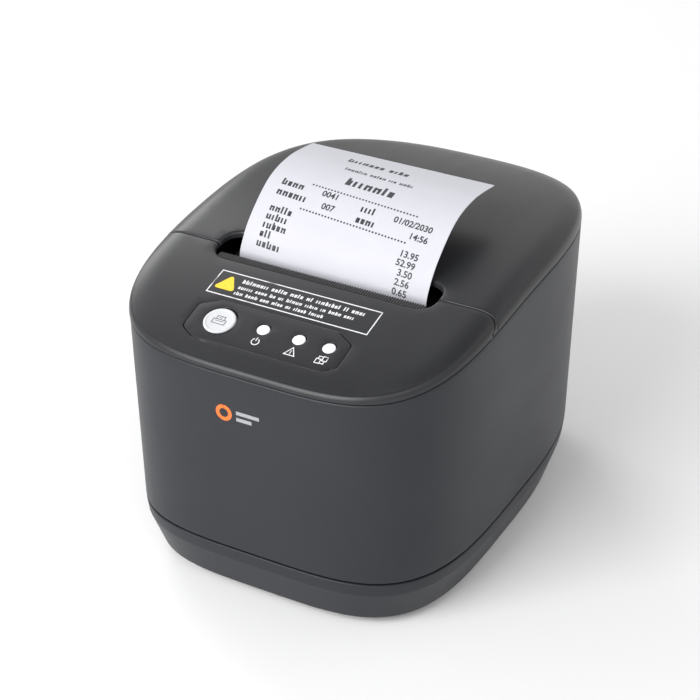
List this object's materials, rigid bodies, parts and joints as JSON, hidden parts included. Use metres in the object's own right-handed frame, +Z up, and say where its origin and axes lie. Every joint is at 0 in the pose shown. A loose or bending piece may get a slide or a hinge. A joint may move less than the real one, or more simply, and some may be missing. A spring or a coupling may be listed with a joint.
{
  "type": "receipt printer",
  "caption": "Desktop thermal receipt printer: hinged lid over a drop-in paper roll, sliding front cover with feed button and lights, paper slot with tear bar, and a curled receipt.",
  "frame": {"origin": "middle of the printer's outline, on the surface it stands on", "axes": "+Z up, -Y towards the front with the feed button, +X to the right seen from the front"},
  "size_m": [0.1418, 0.1886, 0.1388],
  "materials": {
    "casing": "fine satin moulded plastic, dark grey",
    "top_cover": "satin moulded plastic, dark grey",
    "panel": "smooth satin overlay, dark grey",
    "black_plastic": "moulded black",
    "foot_rubber": "matte",
    "platen_rubber": "ground, matte",
    "button_white": "satin off-white",
    "light_window": "diffusing white",
    "thermal_paper": "smooth coated paper",
    "core_card": "wound grey-brown card",
    "sheet_steel": "zinc-plated sheet",
    "bright_steel": "bright ground steel",
    "blade_steel": "hardened ground steel",
    "screw_steel": "black zinc",
    "motor_steel": "plated motor can",
    "brass": "machined",
    "gear_plastic": "natural acetal",
    "head_aluminium": "extruded",
    "head_ceramic": "glazed alumina",
    "circuit_board": "solder mask"
  },
  "bodies": {
    "casing": {"base_tray": "casing", "foot_front_left": "foot_rubber", "foot_front_right": "foot_rubber", "foot_rear_left": "foot_rubber", "foot_rear_right": "foot_rubber", "base_screw_front_left": "screw_steel", "base_screw_front_right": "screw_steel", "base_screw_rear_left": "screw_steel", "base_screw_rear_right": "screw_steel", "main_board": "circuit_board", "buzzer": "black_plastic", "main_casing": "casing", "io_plate": "sheet_steel", "power_inlet": "black_plastic", "usb_socket": "bright_steel", "lan_socket": "bright_steel", "drawer_socket": "black_plastic", "switch_housing": "black_plastic", "paper_well": "black_plastic", "paper_web": "thermal_paper", "paper_sensor": "black_plastic", "mechanism_frame": "sheet_steel", "feed_motor": "motor_steel", "idler_axle": "bright_steel", "head_spring": "sheet_steel", "cutter_motor": "motor_steel", "cutter_guide": "sheet_steel", "hinge_pin_left": "bright_steel", "hinge_pin_right": "bright_steel"},
    "lid": {"lid_shell": "top_cover", "platen_carrier": "black_plastic", "fixed_blade": "blade_steel", "platen_bearing_left": "gear_plastic", "platen_bearing_right": "gear_plastic", "receipt_strip": "thermal_paper"},
    "front_cover": {"front_cover": "top_cover", "control_panel": "panel", "tear_bar": "black_plastic", "power_light": "light_window", "error_light": "light_window", "paper_light": "light_window", "panel_board": "circuit_board", "tact_switch": "black_plastic"},
    "feed_button": {"feed_button": "button_white"},
    "platen": {"platen_shaft": "bright_steel", "platen_rubber": "platen_rubber", "platen_gear": "gear_plastic"},
    "roll": {"paper_roll": "thermal_paper", "paper_core": "core_card"},
    "idler": {"idler_gear": "gear_plastic"},
    "feed_pinion": {"feed_motor_pinion": "brass"},
    "print_head": {"print_head_heat_sink": "head_aluminium", "print_head_ceramic": "head_ceramic"},
    "cutter_drive": {"cutter_wheel": "gear_plastic", "cutter_shaft": "bright_steel", "cutter_pinion_left": "gear_plastic", "cutter_pinion_right": "gear_plastic"},
    "cutter_blade": {"cutter_blade": "blade_steel"},
    "cutter_pinion": {"cutter_motor_pinion": "brass"},
    "rocker": {"power_rocker": "black_plastic"}
  },
  "joints": [
    {"name": "lid_hinge", "type": "hinge", "parent": "casing", "child": "lid", "pos_m": [0, 0.091, 0.101], "axis": [-1, 0, 0], "range_deg": [0, 95]},
    {"name": "front_cover_slide", "type": "slide", "parent": "casing", "child": "front_cover", "axis": [0, -0.9848, 0.1736], "range_m": [0, 0.024]},
    {"name": "feed_button_press", "type": "slide", "parent": "front_cover", "child": "feed_button", "axis": [0, 0.2765, -0.961], "range_m": [0, 0.0008], "stiffness_N_per_m": 600, "springref_m": -0.0005},
    {"name": "roll_turn", "type": "hinge", "parent": "casing", "child": "roll", "pos_m": [0, 0.03, 0.0554], "axis": [-1, 0, 0], "continuous": true},
    {"name": "platen_turn", "type": "hinge", "parent": "lid", "child": "platen", "pos_m": [0, -0.025, 0.092], "axis": [-1, 0, 0], "continuous": true},
    {"name": "idler_turn", "type": "hinge", "parent": "casing", "child": "idler", "pos_m": [0, -0.025, 0.072], "axis": [-1, 0, 0], "continuous": true},
    {"name": "feed_pinion_turn", "type": "hinge", "parent": "casing", "child": "feed_pinion", "pos_m": [0, -0.03955, 0.0636], "axis": [-1, 0, 0], "continuous": true},
    {"name": "print_head_tilt", "type": "hinge", "parent": "casing", "child": "print_head", "pos_m": [0, -0.035, 0.085], "axis": [1, 0, 0], "range_deg": [0, 1.5], "stiffness_Nm_per_rad": 4, "springref_deg": -1.72},
    {"name": "cutter_drive_turn", "type": "hinge", "parent": "casing", "child": "cutter_drive", "pos_m": [0, -0.048, 0.0952], "axis": [-1, 0, 0], "range_deg": [0, 107.4]},
    {"name": "cutter_blade_slide", "type": "slide", "parent": "casing", "child": "cutter_blade", "axis": [0, 1, 0], "range_m": [0, 0.0075]},
    {"name": "cutter_pinion_turn", "type": "hinge", "parent": "casing", "child": "cutter_pinion", "pos_m": [0, -0.06463, 0.0856], "axis": [-1, 0, 0], "range_deg": [-322.5, 0]},
    {"name": "power_rocker_tilt", "type": "hinge", "parent": "casing", "child": "rocker", "pos_m": [0.029, 0.0712, 0.03], "axis": [0, 0, 1], "range_deg": [0, 16]}
  ],
  "couplings": [
    {"joint": "platen_turn", "follows": "roll_turn", "ratio": 4},
    {"joint": "idler_turn", "follows": "roll_turn", "ratio": -2.6667},
    {"joint": "feed_pinion_turn", "follows": "roll_turn", "ratio": 6.6667},
    {"joint": "cutter_blade_slide", "follows": "cutter_drive_turn", "m_per_rad": 0.004},
    {"joint": "cutter_pinion_turn", "follows": "cutter_drive_turn", "ratio": -3}
  ]
}
